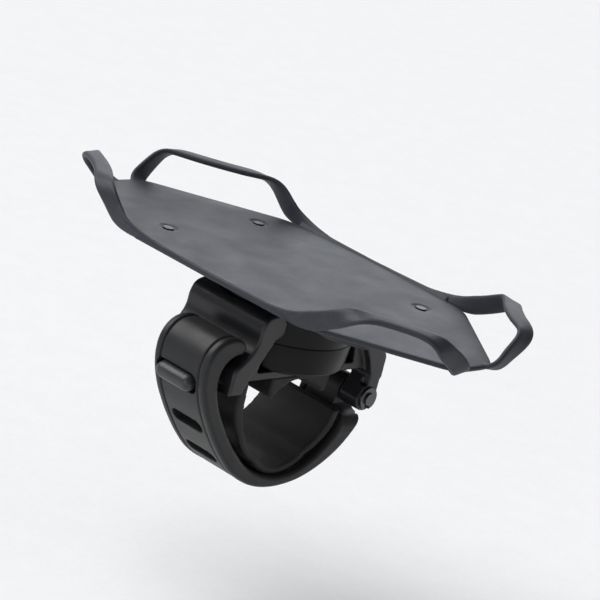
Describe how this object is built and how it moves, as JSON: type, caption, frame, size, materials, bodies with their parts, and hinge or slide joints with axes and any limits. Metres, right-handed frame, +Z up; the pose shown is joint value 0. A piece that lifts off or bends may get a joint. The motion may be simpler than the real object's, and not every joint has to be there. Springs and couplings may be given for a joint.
{
  "type": "phone mount",
  "caption": "Bicycle stem phone mount: strapped saddle clamp, turntable head and a cradle with elastic corner bands.",
  "frame": {"origin": "on the stem's axis at the middle of the saddle clamp", "axes": "+Y forward along the stem, +X to the rider's right, +Z up, square to the cradle"},
  "size_m": [0.0845, 0.152, 0.0755],
  "materials": {
    "bracket": "matte moulded, fine grain",
    "peg": "smooth satin",
    "liner": "matte rubber",
    "strap": "matte rubber with a soft sheen",
    "silicone": "soft-touch silicone",
    "drum": "satin moulded",
    "plate": "matte moulded",
    "rivet": "satin moulded",
    "seal": "smooth rubber",
    "nylon": "smooth natural nylon",
    "steel": "zinc plated",
    "black_steel": "blackened, satin"
  },
  "bodies": {
    "base": {"base_bracket": "bracket", "strap_peg": "peg", "saddle_pad": "liner", "grip_liner": "liner", "strap": "strap", "root_pin": "black_steel", "pin_clips": "black_steel", "turntable_base": "drum", "base_screws": "steel", "axle_nut": "steel", "axle_bolt": "steel", "spring_washer": "steel", "slide_washer": "nylon", "drag_ring": "seal"},
    "head": {"rotor": "drum", "cradle_plate": "plate", "plate_screws": "steel", "holder_web": "silicone", "web_rivets": "rivet"},
    "strap_end": {"strap_end": "strap"},
    "band_front_left": {"band_front_left": "silicone"},
    "band_front_right": {"band_front_right": "silicone"},
    "band_rear_left": {"band_rear_left": "silicone"},
    "band_rear_right": {"band_rear_right": "silicone"}
  },
  "joints": [
    {"name": "turntable_spin", "type": "hinge", "parent": "base", "child": "head", "pos_m": [0, 0, 0.0277], "axis": [0, 0, 1], "continuous": true},
    {"name": "strap_end_unhook", "type": "hinge", "parent": "base", "child": "strap_end", "pos_m": [-0.0303, -0.003, -0.0052], "axis": [0, -1, 0], "range_deg": [0, 95]},
    {"name": "band_front_left_peel", "type": "hinge", "parent": "head", "child": "band_front_left", "pos_m": [-0.0369, 0.0385, 0.0433], "axis": [-0.6014, -0.7989, 0], "range_deg": [0, 110]},
    {"name": "band_front_right_peel", "type": "hinge", "parent": "head", "child": "band_front_right", "pos_m": [0.0369, 0.035, 0.0433], "axis": [-0.606, 0.7954, 0], "range_deg": [0, 110]},
    {"name": "band_rear_left_peel", "type": "hinge", "parent": "head", "child": "band_rear_left", "pos_m": [-0.0369, -0.039, 0.0433], "axis": [0.5851, -0.811, 0], "range_deg": [0, 110]},
    {"name": "band_rear_right_peel", "type": "hinge", "parent": "head", "child": "band_rear_right", "pos_m": [0.0369, -0.039, 0.0433], "axis": [0.6462, 0.7631, 0], "range_deg": [0, 110]}
  ]
}
